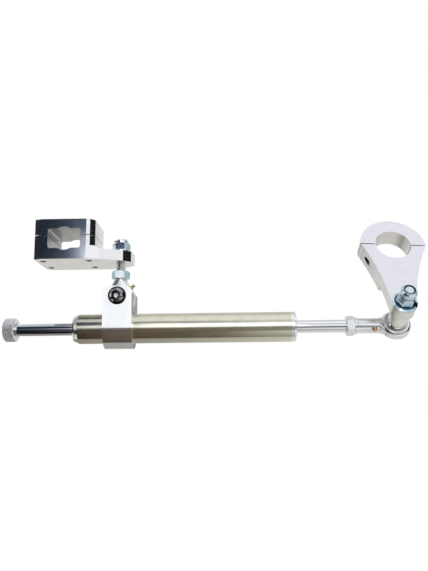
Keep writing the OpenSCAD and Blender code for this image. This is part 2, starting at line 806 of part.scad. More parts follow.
// Rod: hollow from the knob to the piston, with a port on each side of the piston
module piston_rod() color("gainsboro") on_rod() difference() {
    x_journal = knob_x + journal_start;
    x_shoulder = knob_x + web_end + run_fit;
    union() {
        bar(x_journal, x_shoulder + over, journal_d);
        bar(x_shoulder, x_nut, rod_d);
        translate([x_nut - over, 0, 0]) rotate([0, 90, 0])
            shaft(thread_d, thin_h + tap_depth - thread_bevel + over);
    }
    bar(x_journal - over, x_seat, rod_bore);
    bar(x_seat - over, x_port_right + port_d / 2, orifice_d);
    for (x = [x_port_left, x_port_right]) translate([x, 0, -rod_d])
        cylinder(d = port_d, h = 2 * rod_d);
    for (x = [x_mid - piston_len / 2 + recess_len - snap_t,
              x_mid + piston_len / 2 - recess_len])
        tube_piece(x, x + snap_t, rod_d + over, rod_d - 2 * snap_depth);
    tube_piece(knob_x + knob_ring_at, knob_x + knob_ring_at + knob_ring_t,
        journal_d + over, journal_d - 2 * snap_depth);
    for (i = [0 : detents - 1]) rotate([i * 360 / detents, 0, 0])
        translate([knob_x + web_start, journal_d / 2 + notch_d / 2 - notch_depth, 0])
            rotate([0, 90, 0]) cylinder(d = notch_d, h = web_end - web_start);
}

module piston() color("khaki") on_rod() difference() {
    r = tube_id / 2 - piston_gap;
    translate([x_mid - piston_len / 2, 0, 0]) turned([
        [rod_d / 2, 0], [r - piston_bevel, 0], [r, piston_bevel], [r, piston_len - piston_bevel],
        [r - piston_bevel, piston_len], [rod_d / 2, piston_len]
    ]);
    tube_piece(x_mid - band_len / 2 - face_fit, x_mid + band_len / 2 + face_fit,
        tube_id, tube_id - 2 * (band_wall + 2 * run_fit));
    for (x = [x_mid - piston_len / 2 - over, x_mid + piston_len / 2 - recess_len])
        bar(x, x + recess_len + over, recess_d);
}

module piston_band() color("ivory") in_damper() tube_piece(x_mid - band_len / 2,
    x_mid + band_len / 2, tube_id - 2 * run_fit, tube_id - 2 * (band_wall + run_fit));

module left_snap_ring() color("gray") on_rod()
    snap_ring(x_mid - piston_len / 2 + recess_len - snap_t, snap_t,
        rod_d - 2 * snap_depth, snap_d);

module right_snap_ring() color("gray") on_rod()
    snap_ring(x_mid + piston_len / 2 - recess_len, snap_t, rod_d - 2 * snap_depth, snap_d);

// Knob: turns on the rod's journal, clicks on its notches and drives the needle
module adjuster_knob() color("darkgray") in_knob() difference() {
    turned([
        [0, 0], [knob_d / 2 - knob_bevel, 0], [knob_d / 2, knob_bevel],
        [knob_d / 2, knob_len - knob_bevel], [knob_d / 2 - knob_bevel, knob_len], [0, knob_len]
    ]);
    bar(-over, cover_len, cover_d);
    bar(cover_len - over, web_start, pocket_d);
    bar(web_start - over, knob_len + over, journal_d + 2 * run_fit);
    bar(web_end, knob_len + over, rod_d + 2 * loose);
    translate([web_mid, 0, 0]) to_back() cylinder(d = detent_bore, h = knob_d);
}

module knob_cover() color("silver") in_knob() difference() {
    bar(0, cover_len, cover_d);
    translate([cover_len + over, 0, 0]) rotate([0, -90, 0])
        hex(drive_af + 2 * run_fit, cover_len + over - cover_floor);
}

module knob_snap_ring() color("gray") on_rod()
    snap_ring(knob_x + knob_ring_at, knob_ring_t, journal_d - 2 * snap_depth, knob_ring_d);

module detent_ball() color("whitesmoke") in_knob() translate([web_mid, detent_r, 0])
    sphere(d = detent_d);

// Detent spring: one wire wound round Y, from the ball to the screw
function coil_point(t, h, r) = [r * cos(360 * coil_turns * t), h * t, r * sin(360 * coil_turns * t)];

module detent_spring() color("gray") in_knob() translate([web_mid, 0, 0]) {
    steps = 12 * coil_turns;
    sides = 6;
    coil_r = detent_d / 2 - coil_wire / 2 - run_fit;
    y0 = detent_r + sqrt(pow(detent_d / 2, 2) - pow(coil_r - coil_wire / 2, 2)) + coil_wire / 2;
    h = detent_screw_r - coil_wire / 2 - y0;
    points = [for (i = [0 : steps], j = [0 : sides - 1]) let (
        a = 360 * coil_turns * i / steps,
        b = 360 * j / sides,
        out = coil_wire / 2 * cos(b)
    ) coil_point(i / steps, h, coil_r)
        + [out * cos(a), y0 + coil_wire / 2 * sin(b), out * sin(a)]];
    sides_faces = [for (i = [0 : steps - 1], j = [0 : sides - 1], k = [0, 1]) let (
        p = i * sides + j,
        q = i * sides + (j + 1) % sides
    ) k == 0 ? [p, q, p + sides] : [q, q + sides, p + sides]];
    last = steps * sides;
    ends = [for (j = [1 : sides - 2]) each [
        [0, j + 1, j], [last, last + j, last + j + 1]
    ]];
    polyhedron(points, concat(sides_faces, ends));
}

module detent_screw() color("dimgray") in_knob() translate([web_mid, detent_screw_r, 0])
    to_back() difference() {
        cylinder(d = detent_bore, h = detent_screw_len);
        translate([0, 0, detent_screw_len / 2]) hex(detent_socket, detent_screw_len);
    }

// Needle: hexagon in the knob's cover, screwed land in the rod and a cone in the orifice
module adjuster_needle() color("silver") on_rod() difference() {
    x_hex = knob_x + cover_floor + drive_gap;
    x_land = knob_x + journal_start + over;
    land_d = rod_bore - 2 * run_fit;
    union() {
        translate([x_hex, 0, 0]) rotate([0, 90, 0]) hex(drive_af, x_land - x_hex + over);
        bar(x_land, x_land + land_len, land_d);
        bar(x_land, x_seal_land + over, needle_d);
        bar(x_seal_land, x_seal_land + seal_land, land_d);
        bar(x_seal_land, x_seat, orifice_d - loose);
        translate([x_seat, 0, 0]) rotate([0, 90, 0])
            cylinder(d1 = orifice_d - loose, d2 = tip_d, h = tip_len);
    }
    tube_piece(needle_ring_x - needle_ring * groove_share / 2,
        needle_ring_x + needle_ring * groove_share / 2,
        rod_bore + over, rod_bore - 2 * needle_ring);
}

module needle_o_ring() color("darkslategray") on_rod()
    translate([needle_ring_x, 0, 0]) rotate([0, 90, 0]) rotate_extrude()
        translate([rod_bore / 2 - needle_ring / 2, 0])
            circle(r = needle_ring / 2 - seal_fit / 2);

// Fork rod end: screwed on the rod and locked by a thin nut
module fork_jam_nut() color("lightsteelblue") on_rod() translate([x_nut, 0, 0])
    rotate([0, 90, 0]) rotate(rod_turn) nut(collar_af, thin_h, thread_d);

module fork_rod_end() color("gainsboro") at_eye() difference() {
    x_neck = -head_r - head_bevel;
    union() {
        eye_body();
        translate([-shank_len, 0, 0]) turned([
            [0, 0], [rim_d / 2 - rim_cut, 0], [rim_d / 2, rim_cut],
            [rim_d / 2, collar_len - rim_cut], [rim_d / 2 - rim_cut, collar_len], [0, collar_len]
        ]);
        bar(-shank_len + over, x_neck, shank_d);
        translate([x_neck, 0, 0]) rotate([0, 90, 0])
            cylinder(d1 = shank_d, d2 = head_w, h = head_bevel);
        intersection() {
            translate([x_neck - over, 0, 0]) rotate([0, 90, 0]) cylinder(
                d1 = shank_d - over, d2 = shank_d + 2 * flare_out, h = flare_len
            );
            cube([4 * head_d, head_w, head_d], center = true);
        }
    }
    eye_bore();
    bar(-shank_len - over, tap_depth - shank_len, thread_d);
    translate([-nipple_at, 0, 0]) rotate([90 + nipple_turn, 0, 0])
        translate([0, 0, shank_d / 2 - nipple_flat]) nipple_hole();
}

module fork_rod_end_race() color("peru") at_eye() race();

module fork_grease_nipple() color("goldenrod") at_eye() translate([-nipple_at, 0, 0])
    rotate([90 + nipple_turn, 0, 0]) translate([0, 0, shank_d / 2 - nipple_flat]) nipple();

module fork_rod_end_ball() color("whitesmoke") on_fork_ball() ball();

// Fork clamp: a split ring on an arm with hollow sides, bolted to the ball through a spacer
module fork_outline() {
    difference() {
        polygon([
            [-ring_r, fork_reach], [-fork_end_r, 0], [fork_end_r, 0], [ring_r, fork_reach]
        ]);
        for (s = [-1, 1]) translate([s * side_x, side_z]) circle(r = side_r, $fn = 360);
    }
    circle(r = fork_end_r);
}

module fork_screw_places() for (s = [-1, 1])
    translate([s * fork_screw_x, fork_screw_y, 0]) children();

module fork_hole() translate([0, 0, fork_reach]) to_front()
    cylinder(d = fork_bore, h = 2 * fork_stand);

module fork_clamp_base() color("lavender") on_fork_clamp() difference() {
    translate([0, -fork_stand, 0]) to_back() mirror([0, 1, 0]) {
        linear_extrude(fork_arm_t) fork_outline();
        linear_extrude(ring_t) intersection() {
            fork_outline();
            translate([0, fork_reach]) circle(r = thick_r);
        }
    }
    fork_hole();
    translate([-2 * ring_r, -2 * fork_stand, fork_reach - fork_gap / 2])
        cube([4 * ring_r, 2 * fork_stand, fork_gap]);
    fork_screw_places() cylinder(d = screw_d, h = fork_reach);
    to_front() cylinder(d = thread_d, h = fork_stand + over);
}

module fork_clamp_cap() color("lavender") on_fork_clamp() difference() {
    translate([0, -fork_stand + ring_t, fork_reach]) to_front() cylinder(r = ring_r, h = ring_t);
    translate([-2 * ring_r, -2 * fork_stand, fork_reach + fork_gap / 2 - 2 * ring_r])
        cube([4 * ring_r, 2 * fork_stand, 2 * ring_r]);
    fork_hole();
    fork_screw_places() {
        translate([0, 0, fork_reach]) cylinder(d = screw_hole_d, h = ring_r);
        translate([0, 0, fork_seat_z]) cylinder(d = screw_sink_d, h = ring_r);
    }
}

module fork_clamp_screws() color("dimgray") on_fork_clamp() fork_screw_places()
    translate([0, 0, fork_seat_z]) clamp_screw(fork_seat_z - fork_screw_end);

module fork_spacer() color("linen") on_fork_clamp() to_front() {
    z0 = ball_w / 2 + face_fit;
    h = fork_stand - fork_arm_t - z0;
    translate([0, 0, z0]) rotate_extrude() polygon([
        [thread_d / 2, 0], [spacer_d / 2 - spacer_bevel, 0], [spacer_d / 2, spacer_bevel],
        [spacer_d / 2, h], [thread_d / 2, h]
    ]);
}

module fork_pivot_bolt() color("black") on_fork_clamp() to_front()
    translate([0, 0, -fork_head_y]) {
        button_head();
        shaft(bolt_d, fork_head_y + fork_stand + flange_nut_h);
    }

module fork_pivot_washer() color("silver") on_fork_clamp() to_back()
    translate([0, 0, ball_w / 2 + face_fit]) washer(spacer_side_d, thread_d, spacer_t);

module fork_lock_nut() color("lightsteelblue") on_fork_clamp() to_front()
    translate([0, 0, fork_stand]) lock_nut(flange_nut_h, true);

module fork_lock_nut_ring() color("royalblue") on_fork_clamp() to_front()
    translate([0, 0, fork_stand]) nylon_ring(flange_nut_h);

frame_clamp_base();
frame_clamp_cap();
frame_clamp_screws();
frame_rod_end();
frame_rod_end_race();
frame_jam_nut();
frame_lock_washer();
frame_lock_nut();
frame_lock_nut_ring();
frame_grease_nipple();
frame_rod_end_ball();
body_clamp();
clevis_bolt();
clevis_lock_nut();
clevis_lock_nut_ring();
clevis_front_spacer();
clevis_rear_spacer();
damper_tube();
left_gland();
right_gland();
left_bush();
right_bush();
left_rod_seal();
right_rod_seal();
left_wiper();
right_wiper();
left_o_ring();
right_o_ring();
left_bump_stop();
right_bump_stop();
piston_band();
piston_rod();
piston();
left_snap_ring();
right_snap_ring();
fork_jam_nut();
fork_rod_end();
fork_rod_end_race();
fork_grease_nipple();
knob_snap_ring();
adjuster_knob();
knob_cover();
detent_ball();
detent_spring();
detent_screw();
adjuster_needle();
needle_o_ring();
fork_rod_end_ball();
fork_clamp_base();
fork_clamp_cap();
fork_clamp_screws();
fork_spacer();
fork_pivot_bolt();
fork_pivot_washer();
fork_lock_nut();
fork_lock_nut_ring();
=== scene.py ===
import json
import math

import bmesh
import bpy
from mathutils import Matrix, Vector


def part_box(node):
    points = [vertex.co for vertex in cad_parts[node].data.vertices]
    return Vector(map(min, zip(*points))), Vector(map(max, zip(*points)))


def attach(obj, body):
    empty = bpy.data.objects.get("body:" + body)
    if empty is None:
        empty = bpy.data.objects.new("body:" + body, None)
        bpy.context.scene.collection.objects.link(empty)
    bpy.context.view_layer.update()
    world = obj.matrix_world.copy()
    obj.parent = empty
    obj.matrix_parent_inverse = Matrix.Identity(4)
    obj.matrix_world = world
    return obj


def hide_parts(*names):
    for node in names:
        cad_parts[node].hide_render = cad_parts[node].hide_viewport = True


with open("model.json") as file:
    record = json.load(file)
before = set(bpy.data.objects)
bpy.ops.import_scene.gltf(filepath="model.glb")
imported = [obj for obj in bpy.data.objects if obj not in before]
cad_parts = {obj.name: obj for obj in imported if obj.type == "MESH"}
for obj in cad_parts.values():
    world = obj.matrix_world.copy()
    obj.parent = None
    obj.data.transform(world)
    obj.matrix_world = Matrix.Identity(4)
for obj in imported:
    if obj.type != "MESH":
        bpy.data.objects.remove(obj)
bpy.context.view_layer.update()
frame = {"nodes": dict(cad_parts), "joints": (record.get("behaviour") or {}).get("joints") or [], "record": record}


# Frame clamp: a base and a cap milled from aluminium bar and polished until the faces mirror the room.
# The split between them closes on the frame, and the base runs out into the arm for the rod end.
# The walls of the opening are rougher, as the cutter left them, and their colour is painted darker
# than the outside, as painted shade inside the opening.
mm = 0.001
nodes = frame["nodes"]
clamp_bright, clamp_hazy = (0.90, 0.905, 0.92, 1), (0.80, 0.80, 0.81, 1)
opening_shade_grey, opening_rough = (0.44, 0.45, 0.455, 1), 0.3
opening_at, opening_axis, opening_r, wall_lean = (0, 0, 0), (0, 1, 0), 16.5 * mm, 0.25


def new_nodes(tree, *kinds):
    """Adds a shader node of each kind."""
    return [tree.nodes.new(kind) for kind in kinds]


def wired(tree, *pairs):
    """Feeds each socket from another one, or sets it to a plain value."""
    for source, socket in pairs:
        if isinstance(source, bpy.types.NodeSocket):
            tree.links.new(source, socket)
        else:
            socket.default_value = source


def ramp(tree, *stops):
    """Ramp through colours at shares between zero and one."""
    shade = tree.nodes.new("ShaderNodeValToRGB")
    elements = shade.color_ramp.elements
    elements[0].position, elements[0].color = stops[0]
    elements[-1].position, elements[-1].color = stops[-1]
    for share, colour in stops[1:-1]:
        elements.new(share).color = colour
    return shade


def metal(name, bright, dull, rough, grain, lines=(1, 1, 1), relief=0.001 * mm, edge=0.2 * mm):
    """Metal that drifts from a bright to a dull shade, with a grain in its gloss and softened edges."""
    drift_scale, drift_detail, bright_until, dull_from = 110, 4, 0.42, 0.78
    grain_detail, grain_low, grain_high, edge_samples = 6, 0.3, 0.7, 4
    material = bpy.data.materials.new(name)
    material.use_nodes = True
    tree = material.node_tree
    shader = tree.nodes["Principled BSDF"]
    place, stretch, fine, drift = new_nodes(
        tree, "ShaderNodeTexCoord", "ShaderNodeMapping", "ShaderNodeTexNoise", "ShaderNodeTexNoise")
    shade = ramp(tree, (bright_until, bright), (dull_from, dull))
    gloss, soft_edge, bump = new_nodes(
        tree, "ShaderNodeMapRange", "ShaderNodeBevel", "ShaderNodeBump")
    soft_edge.samples = edge_samples
    wired(
        tree,
        (1, shader.inputs["Metallic"]),
        (place.outputs["Object"], drift.inputs["Vector"]),
        (drift_scale, drift.inputs["Scale"]),
        (drift_detail, drift.inputs["Detail"]),
        (drift.outputs["Fac"], shade.inputs["Fac"]),
        (shade.outputs["Color"], shader.inputs["Base Color"]),
        (place.outputs["Object"], stretch.inputs["Vector"]),
        (lines, stretch.inputs["Scale"]),
        (stretch.outputs["Vector"], fine.inputs["Vector"]),
        (grain, fine.inputs["Scale"]),
        (grain_detail, fine.inputs["Detail"]),
        (fine.outputs["Fac"], gloss.inputs["Value"]),
        (grain_low, gloss.inputs["From Min"]),
        (grain_high, gloss.inputs["From Max"]),
        (rough[0], gloss.inputs["To Min"]),
        (rough[1], gloss.inputs["To Max"]),
        (gloss.outputs["Result"], shader.inputs["Roughness"]),
        (edge, soft_edge.inputs["Radius"]),
        (soft_edge.outputs["Normal"], bump.inputs["Normal"]),
        (fine.outputs["Fac"], bump.inputs["Height"]),
        (relief, bump.inputs["Distance"]),
        (bump.outputs["Normal"], shader.inputs["Normal"]),
    )
    return material


def dress(material, *names):
    """Gives CAD nodes their finish."""
    for name in names:
        nodes[name].material_slots[0].material = material


def vector_step(tree, operation, source, *other):
    """Result of a vector operation, as a vector or as a number."""
    step = tree.nodes.new("ShaderNodeVectorMath")
    step.operation = operation
    wired(tree, *zip((source, *other), step.inputs))
    return step.outputs["Value" if operation in ("LENGTH", "DOT_PRODUCT") else "Vector"]


def from_axis(tree, at, axis):
    """Distance of the surface from an axis through a point."""
    away = vector_step(tree, "SUBTRACT", tree.nodes["Texture Coordinate"].outputs["Object"], at)
    return vector_step(tree, "LENGTH", vector_step(tree, "CROSS_PRODUCT", away, axis))


def along_axis(tree, at, axis):
    """How far the surface lies along an axis, counted from a point."""
    away = vector_step(tree, "SUBTRACT", tree.nodes["Texture Coordinate"].outputs["Object"], at)
    return vector_step(tree, "DOT_PRODUCT", away, axis)


def facing(tree, axis):
    """One where the surface faces along an axis, and zero where it stands square to that."""
    return vector_step(tree, "DOT_PRODUCT", tree.nodes["Texture Coordinate"].outputs["Normal"], axis)


def combined(tree, operation, one, other):
    """Joins a value with another value or a plain number."""
    step = tree.nodes.new("ShaderNodeMath")
    step.operation = operation
    wired(tree, (one, step.inputs[0]), (other, step.inputs[1]))
    return step.outputs[0]


def blended(tree, share, socket, other):
    """Blends what feeds a socket into another source or a plain value where the share is one."""
    blend = tree.nodes.new("ShaderNodeMix")
    blend.data_type = "FLOAT" if socket.type == "VALUE" else socket.type
    feed = socket.links[0].from_socket
    wired(
        tree, (feed, blend.inputs["A"]), (other, blend.inputs["B"]), (share, blend.inputs["Factor"]),
        (blend.outputs["Result"], socket),
    )


polished = metal(
    "polished_aluminium", clamp_bright, clamp_hazy, rough=(0.07, 0.13), grain=900, lines=(1, 1, 6))
tree = polished.node_tree
# Painted shade: inside the opening the base colour turns a darker grey, and the gloss is rougher as the cutter
# left it.
near_opening = combined(tree, "LESS_THAN", from_axis(tree, opening_at, opening_axis), opening_r)
leaning = combined(tree, "POWER", facing(tree, opening_axis), 2)
in_opening = combined(tree, "MULTIPLY", near_opening, combined(tree, "LESS_THAN", leaning, wall_lean))
shader = tree.nodes["Principled BSDF"]
blended(tree, in_opening, shader.inputs["Base Color"], opening_shade_grey)
blended(tree, in_opening, shader.inputs["Roughness"], opening_rough)
dress(polished, "frame_clamp_base", "frame_clamp_cap")


# Clamp screws: socket-head screws of blackened steel, sunk in the caps of both clamps.
# They draw the caps down on the bases, and their ends stop short of the far side.
screw_black, screw_worn = (0.030, 0.030, 0.033, 1), (0.075, 0.072, 0.070, 1)
dress(
    metal("blackened_screws", screw_black, screw_worn, rough=(0.28, 0.42), grain=1800),
    "frame_clamp_screws", "fork_clamp_screws",
)


# Frame rod end: a forged housing, bored for the ball's race, on a stud with a rolled thread.
# It is nickel-plated, and the stud goes up through the arm between the jam nut and the lock nut.
plated, plated_dull = (0.88, 0.89, 0.91, 1), (0.76, 0.77, 0.79, 1)
head_r, head_half, head_bevel, head_round = 11.8 * mm, 4.5 * mm, 1.6 * mm, 0.6 * mm
bore_r = 9.2 * mm
stud_d, stud_bevel, stud_relief = 8 * mm, 0.8 * mm, 0.2 * mm
thread_pitch, thread_depth = 1.25 * mm, 0.62 * mm
neck_start, neck_end, neck_half, neck_top, neck_steps = 5.5 * mm, 16 * mm, 10.2 * mm, 4.5 * mm, 12
round_power, square_power = 2, 4
joints = {joint["name"]: joint for joint in frame["joints"]}
pivot = Vector(joints["damper_swing"]["pos_m"])


def turned_piece(name, rings, place, segments=96, hollow=False):
    """Spins rings of (height, radius) about Z. A radius may be a function of the angle."""
    points, rows, faces = [], [], []
    for height, radius in rings:
        count = 1 if radius == 0 else segments
        rows.append(range(len(points), len(points) + count))
        for i in range(count):
            angle = math.tau * i / segments
            r = radius(angle) if callable(radius) else radius
            points.append(place @ Vector((r * math.cos(angle), r * math.sin(angle), height)))
    for low, high in zip(rows, rows[1:] + (rows[:1] if hollow else [])):
        for i in range(segments):
            j = (i + 1) % segments
            corners = [low[i % len(low)], low[j % len(low)], high[j % len(high)], high[i % len(high)]]
            faces.append(list(dict.fromkeys(corners)))
    mesh = bpy.data.meshes.new(name)
    mesh.from_pydata(points, [], faces)
    shape = bmesh.new()
    shape.from_mesh(mesh)
    bmesh.ops.recalc_face_normals(shape, faces=shape.faces)
    shape.to_mesh(mesh)
    shape.free()
    piece = bpy.data.objects.new(name, mesh)
    bpy.context.scene.collection.objects.link(piece)
    return piece


def softened(corners, radius, steps=4):
    """Rounds the corners between the first and the last of a turned outline."""
    longest_share = 0.45
    rings = [corners[0]]
    for before, corner, after in zip(corners, corners[1:], corners[2:]):
        tip = Vector(corner)
        back, onward = Vector(before) - tip, Vector(after) - tip
        reach = min(radius, back.length * longest_share, onward.length * longest_share)
        start, end = tip + back.normalized() * reach, tip + onward.normalized() * reach
        for i in range(steps + 1):
            t = i / steps
            rings.append(tuple(start * (1 - t) ** 2 + tip * 2 * t * (1 - t) + end * t ** 2))
    return rings + [corners[-1]]


def thread(start, end, diameter, steps_per_turn=8):
    """Rings of a rolled thread that runs in and out over one turn."""
    def radius_at(z):
        fade = thread_depth * min(1, (z - start) / thread_pitch, (end - z) / thread_pitch)
        return lambda angle: diameter / 2 - fade * abs(
            2 * ((z / thread_pitch - angle / math.tau) % 1) - 1)

    steps = round((end - start) / thread_pitch * steps_per_turn)
    heights = [start + (end - start) * i / steps for i in range(steps + 1)]
    return [(z, radius_at(z)) for z in heights]


def oval(half_x, half_y, power):
    """Radius of a flattened round section, squarer as the power grows."""
    return lambda angle: (
        abs(math.cos(angle) / half_x) ** power + abs(math.sin(angle) / half_y) ** power
    ) ** (-1 / power)


def joined(piece, *steps):
    """Welds other pieces on or cuts them out, one after the other, and keeps one clean mesh."""
    closest = 0.0001 * mm
    for action, other in steps:
        step = piece.modifiers.new(action, "BOOLEAN")
        step.operation, step.object, step.solver = action, other, "EXACT"
        graph = bpy.context.evaluated_depsgraph_get()
        piece.data = bpy.data.meshes.new_from_object(piece.evaluated_get(graph))
        piece.modifiers.clear()
        bpy.data.objects.remove(other)
        shape = bmesh.new()
        shape.from_mesh(piece.data)
        bmesh.ops.remove_doubles(shape, verts=shape.verts, dist=closest)
        bmesh.ops.dissolve_degenerate(shape, edges=shape.edges, dist=closest)
        shape.to_mesh(piece.data)
        shape.free()
    return piece


def shown(piece, material, body, slot, *replaced):
    """Shades a made piece, sets it on its body and lets it stand for its CAD nodes."""
    crease = math.radians(38)
    piece.data.materials.clear()
    piece.data.materials.append(material)
    piece.data.shade_smooth()
    piece.data.set_sharp_from_angle(angle=crease)
    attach(piece, body)
    if replaced:
        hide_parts(*replaced)
    return piece


def eye_rings():
    """Outline of a rod end's head before it is bored."""
    return softened([
        (-head_half, 0), (-head_half, head_r - head_bevel), (head_bevel - head_half, head_r),
        (head_half - head_bevel, head_r), (head_half, head_r - head_bevel), (head_half, 0),
    ], head_round)


def bore_plug(place):
    """Solid that clears a rod end's bore."""
    return turned_piece("bore_plug", [
        (-2 * head_half, 0), (-2 * head_half, bore_r), (2 * head_half, bore_r), (2 * head_half, 0),
    ], place)


upright = Matrix.Translation(pivot)
across = upright @ Matrix.Rotation(math.radians(-90), 4, "X")
stud_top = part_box("frame_rod_end")[1].z - pivot.z
neck = [(neck_start, 0)]
for i in range(neck_steps + 1):
    t = i / neck_steps
    wide = neck_top + (neck_half - neck_top) * (1 - t)
    power = round_power + (square_power - round_power) * (1 - t)
    neck.append((neck_start + (neck_end - neck_start) * t, oval(wide, min(wide, head_half), power)))
neck += thread(neck_end + stud_relief, stud_top - stud_bevel, stud_d)
neck += [(stud_top, stud_d / 2 - stud_bevel), (stud_top, 0)]
rod_end_plate = metal("plated_rod_end", plated, plated_dull, rough=(0.30, 0.42), grain=1400)
frame_housing = joined(
    turned_piece("frame_rod_end_housing", eye_rings(), across),
    ("UNION", turned_piece("frame_stud", neck, upright)),
    ("DIFFERENCE", bore_plug(across)),
)
shown(frame_housing, rod_end_plate, "frame_bracket", "rod_end_steel", "frame_rod_end")


# Balls and races of both rod ends: hard chromed balls that turn in ground steel races.
# The races are pressed into the housings, and the balls are bored for the bolts.
# The knob's small detent ball has the same chrome.
ball_chrome, ball_dull = (0.84, 0.85, 0.87, 1), (0.74, 0.75, 0.77, 1)
race_steel, race_dull = (0.62, 0.62, 0.63, 1), (0.48, 0.48, 0.50, 1)
dress(
    metal("ball_chrome", ball_chrome, ball_dull, rough=(0.06, 0.12), grain=2000),
    "frame_rod_end_ball", "fork_rod_end_ball", "detent_ball",
)
dress(
    metal("race_steel", race_steel, race_dull, rough=(0.18, 0.30), grain=2600),
    "frame_rod_end_race", "fork_rod_end_race",
)


# Nuts, washers and the frame ball's spacers: steel, zinc-plated and passivated blue, so the flats shift
# between blue and silver. The lock nuts hold a dark nylon ring under their rolled collars; its near black
# is partly painted shade, for the recess under the collar.
zinc, zinc_blue = (0.86, 0.90, 0.93, 1), (0.66, 0.78, 0.86, 1)
nylon_dark_shaded, nylon_grey = (0.035, 0.042, 0.055, 1), (0.060, 0.068, 0.080, 1)


def moulded(name, deep, pale, rough, grain):
    """Moulded plastic or rubber with a fine uneven skin."""
    material = metal(name, deep, pale, rough, grain, relief=0.004 * mm)
    material.node_tree.nodes["Principled BSDF"].inputs["Metallic"].default_value = 0
    return material


dress(
    metal("blue_zinc", zinc, zinc_blue, rough=(0.05, 0.09), grain=1500),
    "frame_jam_nut", "frame_lock_washer", "frame_lock_nut", "clevis_lock_nut",
    "clevis_front_spacer", "clevis_rear_spacer", "fork_pivot_washer",
)
# The nylon's near black is partly painted shade in the recess under the lock nuts' collars.
dress(
    moulded("nylon_ring", nylon_dark_shaded, nylon_grey, rough=(0.35, 0.5), grain=1500),
    "frame_lock_nut_ring", "clevis_lock_nut_ring", "fork_lock_nut_ring",
)


# Grease nipples: small turned brass nipples, pressed into flats on the two rod ends.
# The round head takes the grease gun's coupler.
brass, brass_dark = (0.64, 0.46, 0.21, 1), (0.28, 0.19, 0.08, 1)
dress(
    metal("nipple_brass", brass, brass_dark, rough=(0.15, 0.28), grain=2500, edge=0.1 * mm),
    "frame_grease_nipple", "fork_grease_nipple",
)


# Body clamp: the block that grips the damper's tube, milled from aluminium and polished.
# Its two ears take the frame rod end's ball on a bolt.
block_bright, block_hazy = (0.92, 0.93, 0.945, 1), (0.84, 0.845, 0.85, 1)
dress(
    metal("polished_block", block_bright, block_hazy, rough=(0.10, 0.17), grain=1000, lines=(6, 1, 1)),
    "body_clamp",
)


# Clevis bolt: a button-head bolt in black chrome through the block's ears and the frame ball.
# It has a hexagon socket in its dome and a rolled thread for its lock nut. It is black at the rim and,
# as painted shade, on the socket's walls; its floor and a band of the dome are paler, as painted highlights.
bolt_black, bolt_highlight_grey = (0.022, 0.022, 0.024, 1), (0.50, 0.50, 0.51, 1)
# Shares of the head's radius kept black: the rim, and the socket's walls as painted shade. The socket's floor and
# the dome's band stay pale grey as painted highlights.
black_and_shade_shares = ((0, 0), (0.28, 0), (0.34, 1), (0.43, 1), (0.50, 0), (0.74, 0), (0.84, 1), (1, 1))
button_r, button_h, button_rim, rim_share = 7.2 * mm, 4.4 * mm, 0.6 * mm, 0.9
dome_cut, dome_steps = 0.8 * mm, 16
socket_half, socket_depth, socket_cone, socket_lip = 2.5 * mm, 2.6 * mm, 0.5 * mm, 0.2 * mm
bolt_d, bolt_bevel, bolt_thread, bolt_round = 7.95 * mm, 1 * mm, 16 * mm, 0.15 * mm
ear_axis = (0, 1, 0)


def hexagon(half):
    """Radius of a hexagon with that half width across its flats."""
    return lambda angle: half / math.cos((angle + math.pi / 6) % (math.pi / 3) - math.pi / 6)


def button_bolt(name, place, length):
    """Bolt along Z with its bearing face on zero, the dome below it and the thread at the far end."""
    dome_h = button_h + dome_cut - button_rim
    dome_r = (button_r ** 2 + dome_h ** 2) / (2 * dome_h)
    centre = dome_r - dome_h - button_rim
    flat_r = math.sqrt(dome_r ** 2 - (button_h + centre) ** 2)
    floor, rim, wide_rim = socket_depth - button_h, hexagon(socket_half), hexagon(socket_half + socket_lip)
    rings = [(floor + socket_cone, 0), (floor, rim), (socket_lip - button_h, rim), (-button_h, wide_rim)]
    for i in range(dome_steps + 1):
        r = flat_r + (button_r - flat_r) * math.sin(i / dome_steps * math.pi / 2)
        rings.append((centre - math.sqrt(dome_r ** 2 - r ** 2), r))
    rings += softened([
        (-button_rim * rim_share, button_r), (0, button_r), (0, bolt_d / 2),
        (length - bolt_thread, bolt_d / 2),
    ], bolt_round)
    # The thread's first ring is the shank's last one
    rings += thread(length - bolt_thread, length - bolt_bevel, bolt_d)[1:]
    rings += [(length, bolt_d / 2 - bolt_bevel), (length, 0)]
    return turned_piece(name, rings, place)


black_chrome = metal("black_bolt", bolt_highlight_grey, bolt_black, rough=(0.05, 0.10), grain=2200)
tree = black_chrome.node_tree
# Painted shade and highlights: black on the rim and socket walls, pale on the socket floor and dome.
black_and_shade_mask = ramp(tree, *((share, (left, left, left, 1)) for share, left in black_and_shade_shares))
from_middle = combined(tree, "DIVIDE", from_axis(tree, pivot, ear_axis), button_r)
wired(tree, (from_middle, black_and_shade_mask.inputs["Fac"]))
blended(
    tree, black_and_shade_mask.outputs["Color"], tree.nodes["Principled BSDF"].inputs["Base Color"], bolt_black)
front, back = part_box("clevis_bolt")[0].y + button_h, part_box("clevis_bolt")[1].y
in_ears = Matrix.Translation((pivot.x, front, pivot.z)) @ Matrix.Rotation(math.radians(-90), 4, "X")
clevis_bolt = button_bolt("clevis_button_bolt", in_ears, back - front)
shown(clevis_bolt, black_chrome, "damper_body", "black_steel", "clevis_bolt")


# Damper tube: drawn aluminium with a ground skin, anodised in a pale champagne.
# Its left end is bevelled down to the gland's nose.
champagne, champagne_grey = (0.735, 0.715, 0.60, 1), (0.66, 0.645, 0.55, 1)
dress(
    metal("champagne_tube", champagne, champagne_grey, rough=(0.15, 0.22), grain=2400,
          lines=(1, 0.05, 0.05)),
    "damper_tube",
)


